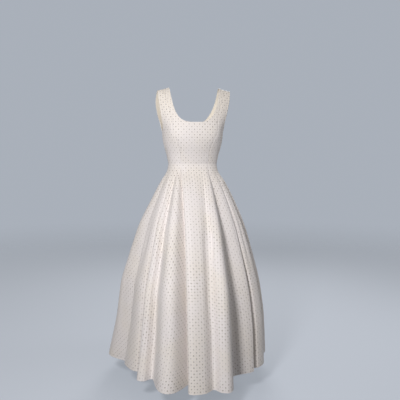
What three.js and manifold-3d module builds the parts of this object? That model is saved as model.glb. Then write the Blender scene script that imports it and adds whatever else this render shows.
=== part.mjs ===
// A sleeveless princess-line wedding dress, as it hangs when it is worn.
// Seven panels run from the shoulder to the hem with no seam at the waist. Each is fitted to the body
// as far as the waist and flares below it into deep unpressed folds, and the seams lie in the troughs.
// A metal zip closes the middle of the back.
//
// Millimetres, +Z up. The front faces -Y and the wearer's left is +X. The origin is midway between
// the shoulders, at the height of the inner ends of the shoulder seams. A drop is a depth below it.
// Angles are in degrees round the body: 0 is the middle of the front, 90 the wearer's left side.
import * as THREE from 'three'
import { mergeVertices } from 'three/addons/utils/BufferGeometryUtils.js'
import Module from 'manifold-3d'

const { degToRad, radToDeg, lerp, clamp } = THREE.MathUtils

// Cloth: the shell, its lining and their turnings together
const wall = 2
const seamGap = 0.3

// Lengths down from the shoulder
const waistDrop = 343
const hemDrop = 1222
const hemDip = 10 // the hem is this much lower at the middle of the front and back

// Shoulder straps: where their inner edges lie, and how the shoulder falls away
const strap = { inner: 113, slope: 0.27, round: 120, fadeDrop: 150 }

// Neckline: a wide scoop, from strap to strap. A higher corner is squarer, and slant draws its foot in.
const neckline = { front: { drop: 160, corner: 3.4, slant: 0.21 }, back: { drop: 165, corner: 2.3, slant: 0 } }

// Armhole edges, as the four points of a curve from the shoulder seam to the top of the side seam.
// The angle is measured from the middle of the front, or of the back.
const armholeDrop = 195
const armhole = {
  front: [{ angle: 64.5, drop: 0 }, { angle: 54, drop: 80 }, { angle: 60, drop: 195 }, { angle: 90, drop: 195 }],
  back: [{ angle: 64.5, drop: 0 }, { angle: 74, drop: 60 }, { angle: 64, drop: 190 }, { angle: 90, drop: 195 }],
}

// Sections of the fitted part: half its width, its depth in front of and behind the shoulder line,
// and where the princess seams cross it, as angles from the middle of the front and of the back
const bodySquareness = 2.3
const body = [
  { drop: 0, half: 181, front: 72, back: 66, frontSeam: 48.6, backSeam: 48.6 },
  { drop: 60, half: 180, front: 84, back: 74, frontSeam: 41, backSeam: 43 },
  { drop: 120, half: 166, front: 101, back: 84, frontSeam: 36.6, backSeam: 40 },
  { drop: 160, half: 150, front: 114, back: 91, frontSeam: 38.5, backSeam: 39 },
  { drop: 195, half: 139, front: 121, back: 95, frontSeam: 40.2, backSeam: 38 },
  { drop: 230, half: 136, front: 121, back: 93, frontSeam: 34, backSeam: 36 },
  { drop: 265, half: 129, front: 112, back: 87, frontSeam: 29.1, backSeam: 34 },
  { drop: 300, half: 119, front: 98, back: 81, frontSeam: 29.4, backSeam: 32 },
  { drop: waistDrop, half: 110, front: 85, back: 78, frontSeam: 30.5, backSeam: 30.5 },
]

// How far the shoulders stand to the wearer's left, above the level of the back neckline
const lean = 6

// The fullness that the front princess seams give over the bust
const cup = { angle: 36, drop: 205, lift: 9, spread: 19, reach: 50 }

// How much of its flare the skirt has gained by each level, on the wearer's right and left
const flare = [
  { drop: waistDrop, right: 0, left: 0 },
  { drop: 378, right: 0.035, left: 0.035 },
  { drop: 422, right: 0.135, left: 0.165 },
  { drop: 510, right: 0.3, left: 0.36 },
  { drop: 607, right: 0.47, left: 0.54 },
  { drop: 695, right: 0.58, left: 0.665 },
  { drop: 783, right: 0.68, left: 0.775 },
  { drop: 870, right: 0.775, left: 0.87 },
  { drop: 958, right: 0.825, left: 0.935 },
  { drop: 1046, right: 0.87, left: 0.975 },
  { drop: hemDrop, right: 1, left: 1 },
]

// The folds, from the wearer's right side seam round the front. Each has a face between two edges
// and a trough after it. Its three lines leave the waist and reach the hem at the angles given;
// crest and trough are how far out the face and the trough stand at the hem.
const folds = [
  { waist: [-86, -78, -72], hem: [-97, -89, -76], crest: 384, trough: 327 },
  { waist: [-67, -57, -52], hem: [-70, -56, -48], crest: 336, trough: 302 },
  { waist: [-49, -44, -41], hem: [-45, -40, -36], crest: 376, trough: 343 },
  { waist: [-39, -35, -30.5], hem: [-25, -17.5, -9.6], crest: 426, trough: 342 },
  { waist: [-25, -4, 12], hem: [-9.2, -1, 5], crest: 426, trough: 396 },
  { waist: [17, 26, 30.5], hem: [8.5, 14.2, 24.5], crest: 432, trough: 322 },
  { waist: [40, 47, 52], hem: [40, 43, 46.5], crest: 344, trough: 326 },
  { waist: [58, 66, 72], hem: [50, 60, 70], crest: 344, trough: 302 },
  { waist: [77, 84, 90], hem: [78, 85, 92], crest: 336, trough: 300 },
  { waist: [99, 109, 118], hem: [100, 107, 114], crest: 350, trough: 308 },
  { waist: [127, 138, 149.5], hem: [121, 127, 134], crest: 380, trough: 320 },
  { waist: [154, 159, 164], hem: [141, 147, 154], crest: 410, trough: 350 },
  { waist: [169, 174, 180], hem: [162, 169, 180], crest: 428, trough: 348 },
  { waist: [186, 191, 196], hem: [189, 195, 202], crest: 424, trough: 346 },
  { waist: [201, 206, 210.5], hem: [208, 214, 221], crest: 408, trough: 332 },
  { waist: [222, 233, 242], hem: [227, 233, 239], crest: 390, trough: 322 },
  { waist: [251, 261, 270], hem: [244, 249, 256], crest: 380, trough: 326 },
]

// The panels, each with its first and last fold and the seams on its two sides
const panels = [
  { name: 'front_side_right', folds: [0, 3], seams: ['sideRight', 'princessRight'] },
  { name: 'front_centre', folds: [4, 5], seams: ['princessRight', 'princessLeft'] },
  { name: 'front_side_left', folds: [6, 8], seams: ['princessLeft', 'sideLeft'] },
  { name: 'back_side_left', folds: [9, 10], seams: ['sideLeft', 'backPrincessLeft'] },
  { name: 'back_left', folds: [11, 12], seams: ['backPrincessLeft', 'centreBack'] },
  { name: 'back_right', folds: [13, 14], seams: ['centreBack', 'backPrincessRight'] },
  { name: 'back_side_right', folds: [15, 16], seams: ['backPrincessRight', 'sideRight'] },
]

// Zip: its ends, the width left open between the two back panels, its tapes and its teeth
const zip = {
  topDrop: neckline.back.drop, endDrop: 510, closedDrop: 524, opening: 5.4,
  tapeWidth: 11, tapeThickness: 0.9, tapeGap: 0.8, tapeEdge: 1, teethTopDrop: 183, teethWidth: 2, teethProud: 0.6,
}

// Slider: a body that lies between the two panels, and an arch on it that the pull hangs from
const slider = {
  drop: 173, width: 4.6, length: 11, chamfer: 1, depth: 3.1, proud: 1.2,
  archLength: 8, archHeight: 3.8, archWidth: 1.6, archBar: 1.1, archChamfer: 0.6,
  archHoleLift: 0.1, archHoleChamfer: 0.3,
}

// Pull: a plate with an eye at its upper end, whose top bar passes under the arch
const pull = {
  width: 6, length: 23, thickness: 1.2, bar: 1.2, barHeight: 1.9, barBelowMiddle: 2,
  eyeWidth: 3, eyeLength: 6.6, eyeCorner: 0.4, waistWidth: 3.6, waistLength: 1, waistTaper: 2, corner: 1.2,
}

// Levels at which the cloth is worked out, and the lines of each fold that it is worked out along
const bodyLevels = [0, 8, 32, 66, 100, 127, 147, 160, 165, 183, 195, 225, 262, 300]
const skirtLevels = [...flare.map((level) => level.drop), zip.closedDrop].sort((a, b) => a - b)
const foldSteps = [-1, -0.5, 0, 1, 1.5]
const linesPerFold = 3

// Steps that the surfaces' normals are measured over: degrees, fold lines and millimetres
const bodyStep = 0.2
const skirtStep = 0.05
const dropStep = 0.5

const ivory = { color: 0xf0ebe2, roughness: 0.82, metalness: 0 }
const tapeColour = { color: 0xe9e2d4, roughness: 0.8, metalness: 0 }
const nickel = { color: 0xb9b7b2, roughness: 0.35, metalness: 0.9 }

// ---- Reading the tables ----

// A smooth value down a table that has a drop column
function read(table, column, drop) {
  const last = table.length - 1
  let i = 0
  while (i < last - 1 && drop > table[i + 1].drop) i++
  const slope = (j) => {
    const above = table[Math.max(j - 1, 0)]
    const below = table[Math.min(j + 1, last)]
    return (below[column] - above[column]) / (below.drop - above.drop)
  }
  const span = table[i + 1].drop - table[i].drop
  const f = clamp((drop - table[i].drop) / span, 0, 1)
  const start = table[i][column]
  const end = table[i + 1][column]
  const bend = f * (1 - f) * span * (slope(i) * (1 - f) - slope(i + 1) * f)
  return start + (end - start) * f * f * (3 - 2 * f) + bend
}

// The fold lines in order, one value of each kind, going on past a full turn both ways
function foldLine(kind, index) {
  const count = folds.length * linesPerFold
  const turns = Math.floor(index / count)
  const inTurn = index - turns * count
  const fold = folds[Math.floor(inTurn / linesPerFold)]
  const line = inTurn % linesPerFold
  if (kind === 'reach') return line < 2 ? fold.crest : fold.trough
  return fold[kind][line] + 360 * turns
}

// A smooth value between fold lines
function onFolds(kind, u) {
  const i = Math.floor(u)
  const f = u - i
  const [a, b, c, d] = [-1, 0, 1, 2].map((step) => foldLine(kind, i + step))
  return b + 0.5 * f * (c - a + f * (2 * a - 5 * b + 4 * c - d + f * (3 * (b - c) + d - a)))
}

// ---- Surfaces of the dress ----

// A point of the fitted part
function bodyPoint(angle, drop) {
  const turn = degToRad(angle)
  const front = Math.cos(turn) > 0
  const squared = (value) => Math.sign(value) * Math.abs(value) ** (2 / bodySquareness)
  const overShoulder = Math.sqrt(1 - (1 - Math.min(drop / strap.round, 1)) ** 2)
  const depth = read(body, front ? 'front' : 'back', drop) * overShoulder
  const half = read(body, 'half', drop)
  const point = new THREE.Vector3(half * squared(Math.sin(turn)), -depth * squared(Math.cos(turn)), 0)
  const across = (Math.abs(((angle + 540) % 360) - 180) - cup.angle) / cup.spread
  const down = (drop - cup.drop) / cup.reach
  const lift = cup.lift * Math.exp(-across * across - down * down)
  point.multiplyScalar(1 + lift / Math.max(point.length(), 1))
  const fade = (1 - Math.min(drop / strap.fadeDrop, 1)) ** 2
  point.z = -drop - strap.slope * (Math.abs(point.x) - strap.inner) * fade
  point.x += lean * (1 - THREE.MathUtils.smoothstep(drop, 0, neckline.back.drop))
  return point
}

// A point of the skirt, on a line of the folds
function skirtPoint(u, drop) {
  const hemTurn = degToRad(onFolds('hem', u))
  const reach = onFolds('reach', u)
  const point = bodyPoint(onFolds('waist', u), waistDrop)
  const hem = new THREE.Vector3(reach * Math.sin(hemTurn), -reach * Math.cos(hemTurn), 0)
  const leftward = (1 + Math.sin(hemTurn)) / 2
  point.z = 0
  point.lerp(hem, lerp(read(flare, 'right', drop), read(flare, 'left', drop), leftward))
  const fall = (drop - waistDrop) / (hemDrop - waistDrop)
  point.z = -drop - hemDip * Math.cos(hemTurn) ** 2 * fall
  return point
}

// The unit outward normal of a surface, from how it runs across and down
function outward(surface, across, drop, acrossStep) {
  const run = surface(across + acrossStep, drop).sub(surface(across - acrossStep, drop))
  const fall = surface(across, drop + dropStep).sub(surface(across, Math.max(drop - dropStep, 0)))
  const normal = fall.cross(run)
  if (drop === 0) normal.y = 0 // the cloth lies level over the shoulder seam
  return { normal: normal.normalize(), run: run.normalize() }
}

// ---- Edges of the panels, as angles at a drop ----

// Angle of an armhole edge from the middle of its side
function armholeAngle(side, drop) {
  const points = armhole[side]
  const at = (key, v) => {
    const [a, b, c, d] = points.map((point) => point[key])
    return (1 - v) ** 3 * a + 3 * v * (1 - v) ** 2 * b + 3 * v * v * (1 - v) * c + v ** 3 * d
  }
  let low = 0
  let high = 1
  for (let step = 0; step < 40; step++) {
    const middle = (low + high) / 2
    if (at('drop', middle) < drop) low = middle
    else high = middle
  }
  return drop >= armholeDrop ? 90 : at('angle', low)
}

// Angle of the neckline from the middle of its side
function necklineAngle(side, drop) {
  const { drop: depth, corner, slant } = neckline[side]
  if (drop >= depth) return 0
  const share = drop / depth
  const x = strap.inner * (1 - slant * share) * (1 - share ** corner) ** (1 / corner)
  return radToDeg(Math.asin((x / read(body, 'half', drop)) ** (bodySquareness / 2)))
}

const seamAngle = {
  sideRight: (drop) => -90,
  princessRight: (drop) => -read(body, 'frontSeam', drop),
  princessLeft: (drop) => read(body, 'frontSeam', drop),
  sideLeft: (drop) => 90,
  backPrincessLeft: (drop) => 180 - read(body, 'backSeam', drop),
  centreBack: (drop) => 180,
  backPrincessRight: (drop) => 180 + read(body, 'backSeam', drop),
}

// The two edges of a panel where it is fitted, at a drop: a seam, or an armhole or neckline above it
function panelEdges(panel, drop) {
  let [start, end] = panel.seams.map((seam) => seamAngle[seam](drop))
  if (panel.name === 'front_side_right') start = -armholeAngle('front', drop)
  if (panel.name === 'front_side_left') end = armholeAngle('front', drop)
  if (panel.name === 'back_side_left') start = 180 - armholeAngle('back', drop)
  if (panel.name === 'back_side_right') end = 180 + armholeAngle('back', drop)
  if (panel.name === 'back_left') end = 180 - necklineAngle('back', drop)
  if (panel.name === 'back_right') start = 180 + necklineAngle('back', drop)
  return [start, end]
}

// Half the distance between two panels at a seam
function halfGap(seam, drop) {
  if (seam !== 'centreBack') return seamGap / 2
  const closing = clamp((drop - zip.endDrop) / (zip.closedDrop - zip.endDrop), 0, 1)
  return lerp(zip.opening, seamGap, closing) / 2
}

// ---- The cloth ----

// A strip of cloth: rows of outer points with their normals, between two places across a panel
function clothStrip(panel, from, to) {
  const [firstFold, lastFold] = panel.folds
  const columns = []
  for (let fold = firstFold; fold <= lastFold; fold++) {
    for (const step of foldSteps) columns.push(fold * linesPerFold + step)
  }
  columns.push(lastFold * linesPerFold + 2)
  const count = columns.length - 1
  const waistStart = onFolds('waist', columns[0])
  const waistEnd = onFolds('waist', columns[count])

  // Angle of a column where the panel is fitted. It nears the fold lines' own angles at the waist.
  const fittedAngle = (index, drop) => {
    const share = index / count
    const foldShare = (onFolds('waist', columns[index]) - waistStart) / (waistEnd - waistStart)
    const settle = THREE.MathUtils.smoothstep(drop, armholeDrop, waistDrop)
    const [start, end] = panelEdges(panel, drop)
    if (panel.name === 'front_centre' && drop < neckline.front.drop) {
      const edge = necklineAngle('front', drop)
      return to <= 0.5 ? lerp(start, -edge, share * 2) : lerp(edge, end, share * 2 - 1)
    }
    return lerp(start, end, lerp(share, foldShare, settle))
  }

  const row = (drop, fitted) => {
    const points = []
    for (let index = Math.round(from * count); index <= Math.round(to * count); index++) {
      const surface = fitted ? bodyPoint : skirtPoint
      const across = fitted ? fittedAngle(index, drop) : columns[index]
      const { normal, run } = outward(surface, across, drop, fitted ? bodyStep : skirtStep)
      const point = surface(across, drop)
      if (drop === 0) point.y += (Math.cos(degToRad(across)) > 0 ? -seamGap : seamGap) / 2
      if (index === 0 && !isOpenEdge(panel, 0, drop)) point.addScaledVector(run, halfGap(panel.seams[0], drop))
      if (index === count && !isOpenEdge(panel, 1, drop)) point.addScaledVector(run, -halfGap(panel.seams[1], drop))
      points.push({ point, normal, drop })
    }
    return points
  }
  return [...bodyLevels.map((drop) => row(drop, true)), ...skirtLevels.map((drop) => row(drop, false))]
}

// True where a panel's side is an armhole or neckline edge
function isOpenEdge(panel, end, drop) {
  const seam = panel.seams[end]
  if (seam === 'sideRight' || seam === 'sideLeft') return drop < armholeDrop
  return seam === 'centreBack' && drop < neckline.back.drop
}

// A closed wall of cloth with these strips as its outer face
function clothWall(strips) {
  const numberOf = new Map()
  const outer = []
  const inner = []
  const triangles = []
  const add = ({ point, normal }) => {
    const key = point.toArray().map((value) => value.toFixed(3)).join()
    if (!numberOf.has(key)) {
      numberOf.set(key, outer.length)
      outer.push(point)
      inner.push(point.clone().addScaledVector(normal, -wall))
    }
    return numberOf.get(key)
  }
  for (const rows of strips) {
    for (let r = 0; r < rows.length - 1; r++) {
      for (let c = 0; c < rows[r].length - 1; c++) {
        const [a, b, d, e] = [rows[r][c], rows[r][c + 1], rows[r + 1][c], rows[r + 1][c + 1]].map(add)
        for (const face of [[a, d, e], [a, e, b]]) if (new Set(face).size === 3) triangles.push(face)
      }
    }
  }
  const used = new Set(triangles.flatMap(([a, b, c]) => [`${a},${b}`, `${b},${c}`, `${c},${a}`]))
  const back = outer.length
  const closed = []
  for (const [a, b, c] of triangles) {
    closed.push(a, b, c, back + a, back + c, back + b)
    for (const [p, q] of [[a, b], [b, c], [c, a]]) {
      if (!used.has(`${q},${p}`)) closed.push(q, p, back + p, q, back + p, back + q)
    }
  }
  const geometry = new THREE.BufferGeometry()
  const places = [...outer, ...inner].flatMap((point) => point.toArray())
  geometry.setAttribute('position', new THREE.Float32BufferAttribute(places, 3))
  geometry.setIndex(closed)
  geometry.computeVertexNormals()
  return geometry
}

function panelGeometry(panel) {
  const halves = panel.name === 'front_centre' ? [[0, 0.5], [0.5, 1]] : [[0, 1]]
  return clothWall(halves.map(([from, to]) => clothStrip(panel, from, to)))
}

// ---- The zip ----

// A strip that lies against a back panel beside the middle seam, made from the panel's own points.
// Its section is given as distances from the middle of the back and out from the cloth's face.
function besideSeam(panel, section, topDrop) {
  const rows = clothStrip(panel, 0, 1).filter(([{ drop }]) => drop >= topDrop && drop <= zip.endDrop)
  const seamFirst = panel.seams[0] === 'centreBack'
  const points = rows.flatMap((row) => {
    const [seam, next] = seamFirst ? [row[0], row[1]] : [row[row.length - 1], row[row.length - 2]]
    const span = seam.point.distanceTo(next.point)
    return section.map(([distance, out]) => {
      const share = (distance - zip.opening / 2) / span
      const normal = seam.normal.clone().lerp(next.normal, share)
      return seam.point.clone().lerp(next.point, share).addScaledVector(normal, out)
    })
  })
  const size = section.length
  const last = points.length - size
  const index = []
  for (let start = 0; start < last; start += size) {
    for (let c = 0; c < size; c++) {
      const [a, b] = [start + c, start + ((c + 1) % size)]
      index.push(a, a + size, b + size, a, b + size, b)
    }
  }
  for (let c = 1; c < size - 1; c++) index.push(0, c, c + 1, last, last + c + 1, last + c)
  if (seamFirst) for (let i = 0; i < index.length; i += 3) [index[i], index[i + 1]] = [index[i + 1], index[i]]
  const geometry = new THREE.BufferGeometry().setFromPoints(points)
  geometry.setIndex(index)
  geometry.computeVertexNormals()
  return geometry
}

function box(nearest, farthest, inside, outside) {
  return [[nearest, inside], [farthest, inside], [farthest, outside], [nearest, outside]]
}

function tapeGeometry(panel) {
  const face = -wall - zip.tapeGap
  const section = box(zip.tapeEdge, zip.tapeEdge + zip.tapeWidth, face - zip.tapeThickness, face)
  return besideSeam(panel, section, zip.topDrop)
}

function teethGeometry(panel) {
  const section = box(seamGap / 2, seamGap / 2 + zip.teethWidth, -wall, zip.teethProud)
  return besideSeam(panel, section, zip.teethTopDrop)
}

const wasm = await Module()
wasm.setup()

function toSolid(geometry) {
  const bare = geometry.clone()
  bare.deleteAttribute('normal')
  bare.deleteAttribute('uv')
  const merged = mergeVertices(bare, 1e-4)
  return new wasm.Manifold(new wasm.Mesh({
    numProp: 3,
    vertProperties: Float32Array.from(merged.attributes.position.array),
    triVerts: Uint32Array.from(merged.index.array),
  }))
}

function toGeometry(solid) {
  const mesh = solid.getMesh()
  const geometry = new THREE.BufferGeometry()
  geometry.setAttribute('position', new THREE.Float32BufferAttribute(mesh.vertProperties, 3))
  geometry.setIndex(Array.from(mesh.triVerts))
  geometry.computeVertexNormals()
  return geometry
}

// A rectangle with cut corners, from its lowest and highest x and y
function cutOutline([x0, y0], [x1, y1], corner) {
  return [
    [x0 + corner, y0], [x1 - corner, y0], [x1, y0 + corner], [x1, y1 - corner],
    [x1 - corner, y1], [x0 + corner, y1], [x0, y1 - corner], [x0, y0 + corner],
  ].map(([x, y]) => new THREE.Vector2(x, y))
}

// A flat plate centred on its own XY plane, from its outline and a hole in it
function plate(outline, hole, thickness) {
  const shape = new THREE.Shape(outline)
  if (hole) shape.holes.push(new THREE.Path(hole))
  const geometry = new THREE.ExtrudeGeometry(shape, { depth: thickness, bevelEnabled: false })
  return geometry.translate(0, 0, -thickness / 2)
}

// The slider, with its own Y up along the back and its own Z out from the cloth's face
function sliderGeometry() {
  const [w, l] = [slider.width / 2, slider.length / 2]
  const core = plate(cutOutline([-w, -l], [w, l], slider.chamfer), null, slider.depth)
  core.translate(0, 0, slider.proud - slider.depth / 2)
  const [a, bar] = [slider.archLength / 2, slider.archBar]
  const foot = slider.proud - bar
  const top = slider.proud + slider.archHeight
  const outer = cutOutline([-a, foot], [a, top], slider.archChamfer)
  const sill = slider.proud + slider.archHoleLift
  const hole = cutOutline([-a + bar, sill], [a - bar, top - bar], slider.archHoleChamfer)
  const arch = plate(outer, hole, slider.archWidth).rotateX(Math.PI / 2).rotateZ(Math.PI / 2)
  return toGeometry(toSolid(core).add(toSolid(arch)))
}

// The pull, hanging from the middle of its top bar, with its own Y up and its own Z through it
function pullGeometry() {
  const [w, waist, top] = [pull.width / 2, pull.waistWidth / 2, pull.bar / 2]
  const foot = top - pull.length
  const eyeTop = top - pull.bar
  const eyeFoot = eyeTop - pull.eyeLength
  const neck = eyeFoot - pull.bar - pull.corner
  const right = [
    [w - pull.corner, foot], [w, foot + pull.corner], [w, neck - pull.waistLength - pull.waistTaper],
    [waist, neck - pull.waistLength], [waist, neck],
    [w, eyeFoot - pull.bar / 2], [w, top - pull.corner], [w - pull.corner, top],
  ]
  const left = right.map(([x, y]) => [-x, y]).reverse()
  const outline = [...right, ...left].map(([x, y]) => new THREE.Vector2(x, y))
  const eye = cutOutline([-pull.eyeWidth / 2, eyeFoot], [pull.eyeWidth / 2, eyeTop], pull.eyeCorner)
  return plate(outline, eye, pull.thickness)
}

// ---- The dress ----

const dress = new THREE.Group()

function addMesh(name, geometry, finish) {
  const mesh = new THREE.Mesh(geometry, new THREE.MeshStandardMaterial(finish))
  mesh.name = name
  dress.add(mesh)
  return mesh
}

for (const panel of panels) addMesh(panel.name, panelGeometry(panel), ivory)

for (const panel of panels.filter(({ seams }) => seams.includes('centreBack'))) {
  const side = panel.name.replace('back_', '')
  addMesh(`zip_tape_${side}`, tapeGeometry(panel), tapeColour)
  addMesh(`zip_teeth_${side}`, teethGeometry(panel), nickel)
}

// The slider and its pull stand on the cloth's face at the middle of the back, tilted with it
const seat = bodyPoint(180, slider.drop)
const up = bodyPoint(180, slider.drop - 1).sub(bodyPoint(180, slider.drop + 1)).setX(0).normalize()
const out = new THREE.Vector3(0, up.z, -up.y)
const fastener = new THREE.Group()
fastener.setRotationFromMatrix(new THREE.Matrix4().makeBasis(up.clone().cross(out), up, out))
fastener.position.copy(seat.setX(0))
dress.add(fastener)

fastener.add(addMesh('zip_slider', sliderGeometry(), nickel))
const hangingPull = addMesh('zip_pull', pullGeometry(), nickel)
hangingPull.position.set(0, -pull.barBelowMiddle, slider.proud + pull.barHeight)
fastener.add(hangingPull)

export default dress
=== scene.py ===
import math
import bpy
import numpy as np
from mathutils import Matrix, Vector


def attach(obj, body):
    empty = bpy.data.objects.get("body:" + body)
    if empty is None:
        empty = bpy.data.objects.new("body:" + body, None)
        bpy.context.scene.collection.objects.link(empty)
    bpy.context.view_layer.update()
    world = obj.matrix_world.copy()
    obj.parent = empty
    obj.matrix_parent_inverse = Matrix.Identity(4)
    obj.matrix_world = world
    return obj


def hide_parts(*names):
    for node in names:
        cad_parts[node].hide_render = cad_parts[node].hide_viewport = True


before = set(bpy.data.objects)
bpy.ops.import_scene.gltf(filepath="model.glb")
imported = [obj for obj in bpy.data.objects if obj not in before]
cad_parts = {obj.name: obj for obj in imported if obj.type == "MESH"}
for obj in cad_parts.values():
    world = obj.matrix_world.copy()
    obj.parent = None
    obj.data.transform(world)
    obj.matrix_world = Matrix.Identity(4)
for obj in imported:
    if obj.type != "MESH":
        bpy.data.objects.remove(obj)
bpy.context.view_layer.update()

mm = 0.001

# The dress is worked out in millimetres, from drops below the shoulder and angles round the body:
# 0 degrees is the middle of the front, and 90 the wearer's left side.

dress = {
    "waist": 343, "hem": 1222, "hemDip": 10,
    "strapInner": 113, "strapSlope": 0.27, "strapRound": 120, "strapFade": 150,
    "frontNeck": 160, "frontCorner": 3.4, "frontSlant": 0.21,
    "backNeck": 165, "backCorner": 2.3, "backSlant": 0,
    "armhole": 195, "squareness": 2.3, "lean": 6,
}

armholeCurve = {  # angle from the middle of its side, and drop
    "front": ((64.5, 0), (54, 80), (60, 195), (90, 195)),
    "back": ((64.5, 0), (74, 60), (64, 190), (90, 195)),
}

bodyTable = {  # one column for each level of the fitted part
    "drop": (0, 60, 120, 160, 195, 230, 265, 300, 343),
    "half": (181, 180, 166, 150, 139, 136, 129, 119, 110),
    "front": (72, 84, 101, 114, 121, 121, 112, 98, 85),
    "back": (66, 74, 84, 91, 95, 93, 87, 81, 78),
    "frontSeam": (48.6, 41, 36.6, 38.5, 40.2, 34, 29.1, 29.4, 30.5),
    "backSeam": (48.6, 43, 40, 39, 38, 36, 34, 32, 30.5),
}

cup = {"angle": 36, "drop": 205, "lift": 9, "spread": 19, "reach": 50}

flareTable = {  # share of the flare gained by each level, on the wearer's right and left
    "drop": (343, 378, 422, 510, 607, 695, 783, 870, 958, 1046, 1222),
    "right": (0, 0.035, 0.135, 0.3, 0.47, 0.58, 0.68, 0.775, 0.825, 0.87, 1),
    "left": (0, 0.035, 0.165, 0.36, 0.54, 0.665, 0.775, 0.87, 0.935, 0.975, 1),
}

# each fold: waist and hem angles of its face's two edges and of the trough after it,
# then how far its crest and its trough stand out at the hem
folds = (
    ((-86, -78, -72), (-97, -89, -76), 384, 327),
    ((-67, -57, -52), (-70, -56, -48), 336, 302),
    ((-49, -44, -41), (-45, -40, -36), 376, 343),
    ((-39, -35, -30.5), (-25, -17.5, -9.6), 426, 342),
    ((-25, -4, 12), (-9.2, -1, 5), 426, 396),
    ((17, 26, 30.5), (8.5, 14.2, 24.5), 432, 322),
    ((40, 47, 52), (40, 43, 46.5), 344, 326),
    ((58, 66, 72), (50, 60, 70), 344, 302),
    ((77, 84, 90), (78, 85, 92), 336, 300),
    ((99, 109, 118), (100, 107, 114), 350, 308),
    ((127, 138, 149.5), (121, 127, 134), 380, 320),
    ((154, 159, 164), (141, 147, 154), 410, 350),
    ((169, 174, 180), (162, 169, 180), 428, 348),
    ((186, 191, 196), (189, 195, 202), 424, 346),
    ((201, 206, 210.5), (208, 214, 221), 408, 332),
    ((222, 233, 242), (227, 233, 239), 390, 322),
    ((251, 261, 270), (244, 249, 256), 380, 326),
)


def smoothStep(low, high, value):
    f = np.clip((value - low) / (high - low), 0, 1)
    return f * f * (3 - 2 * f)


def readTable(table, column, drop):
    # a smooth value down a table
    x = np.asarray(table["drop"], float)
    y = np.asarray(table[column], float)
    n = len(x)
    i = np.clip(np.searchsorted(x, drop, side="left") - 1, 0, n - 2)
    slope = np.empty(n)
    slope[1:-1] = (y[2:] - y[:-2]) / (x[2:] - x[:-2])
    slope[0] = (y[1] - y[0]) / (x[1] - x[0])
    slope[-1] = (y[-1] - y[-2]) / (x[-1] - x[-2])
    span = x[i + 1] - x[i]
    f = np.clip((drop - x[i]) / span, 0, 1)
    bend = f * (1 - f) * span * (slope[i] * (1 - f) - slope[i + 1] * f)
    return y[i] + (y[i + 1] - y[i]) * f * f * (3 - 2 * f) + bend


linesPerFold = 3
foldLines = {
    "waist": np.array([angle for fold in folds for angle in fold[0]], float),
    "hem": np.array([angle for fold in folds for angle in fold[1]], float),
    "reach": np.array([value for fold in folds for value in (fold[2], fold[2], fold[3])], float),
}
lineCount = linesPerFold * len(folds)


def onFolds(kind, u):
    # a smooth value between the fold lines, going on past a full turn
    i = np.floor(u).astype(int)
    f = u - i

    def line(step):
        index = i + step
        turns = np.floor_divide(index, lineCount)
        value = foldLines[kind][index - turns * lineCount]
        return value if kind == "reach" else value + 360 * turns

    a, b, c, d = line(-1), line(0), line(1), line(2)
    return b + 0.5 * f * (c - a + f * (2 * a - 5 * b + 4 * c - d + f * (3 * (b - c) + d - a)))


def bodyPoint(angle, drop):
    angle, drop = np.broadcast_arrays(np.asarray(angle, float), np.asarray(drop, float))
    turn = np.radians(angle)
    power = 2 / dress["squareness"]
    sine, cosine = np.sin(turn), np.cos(turn)
    rounding = np.sqrt(1 - (1 - np.minimum(drop / dress["strapRound"], 1)) ** 2)
    front, back = readTable(bodyTable, "front", drop), readTable(bodyTable, "back", drop)
    depth = np.where(cosine > 0, front, back) * rounding
    x = readTable(bodyTable, "half", drop) * np.sign(sine) * np.abs(sine) ** power
    y = -depth * np.sign(cosine) * np.abs(cosine) ** power
    fromFront = np.abs((angle + 540) % 360 - 180)
    across = (fromFront - cup["angle"]) / cup["spread"]
    down = (drop - cup["drop"]) / cup["reach"]
    lift = 1 + cup["lift"] * np.exp(-across ** 2 - down ** 2) / np.maximum(np.hypot(x, y), 1)
    x, y = x * lift, y * lift
    fade = (1 - np.minimum(drop / dress["strapFade"], 1)) ** 2
    z = -drop - dress["strapSlope"] * (np.abs(x) - dress["strapInner"]) * fade
    x = x + dress["lean"] * (1 - smoothStep(0, dress["backNeck"], drop))
    return np.stack([x, y, z], -1)


def skirtPoint(u, drop):
    u, drop = np.broadcast_arrays(np.asarray(u, float), np.asarray(drop, float))
    hemTurn = np.radians(onFolds("hem", u))
    reach = onFolds("reach", u)
    waist = bodyPoint(onFolds("waist", u), dress["waist"])
    leftward = (1 + np.sin(hemTurn)) / 2
    right, left = readTable(flareTable, "right", drop), readTable(flareTable, "left", drop)
    flare = right + (left - right) * leftward
    x = waist[..., 0] + (reach * np.sin(hemTurn) - waist[..., 0]) * flare
    y = waist[..., 1] + (-reach * np.cos(hemTurn) - waist[..., 1]) * flare
    fall = (drop - dress["waist"]) / (dress["hem"] - dress["waist"])
    z = -drop - dress["hemDip"] * np.cos(hemTurn) ** 2 * fall
    return np.stack([x, y, z], -1)


def unit(vectors):
    return vectors / np.linalg.norm(vectors, axis=-1, keepdims=True)


def lengthAlong(points):
    # running length down each line of points
    steps = np.linalg.norm(np.diff(points, axis=-2), axis=-1)
    return np.concatenate([np.zeros((*steps.shape[:-1], 1)), np.cumsum(steps, axis=-1)], axis=-1)


def surfaceFrame(surface, across, drop, acrossStep, dropStep=0.5):
    # unit outward normals, and unit runs across
    run = surface(across + acrossStep, drop) - surface(across - acrossStep, drop)
    fall = surface(across, drop + dropStep) - surface(across, np.maximum(drop - dropStep, 0))
    normal = np.cross(fall, run)
    normal[..., 1] = np.where(drop <= 0, 0, normal[..., 1])
    return unit(normal), unit(run)


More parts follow.
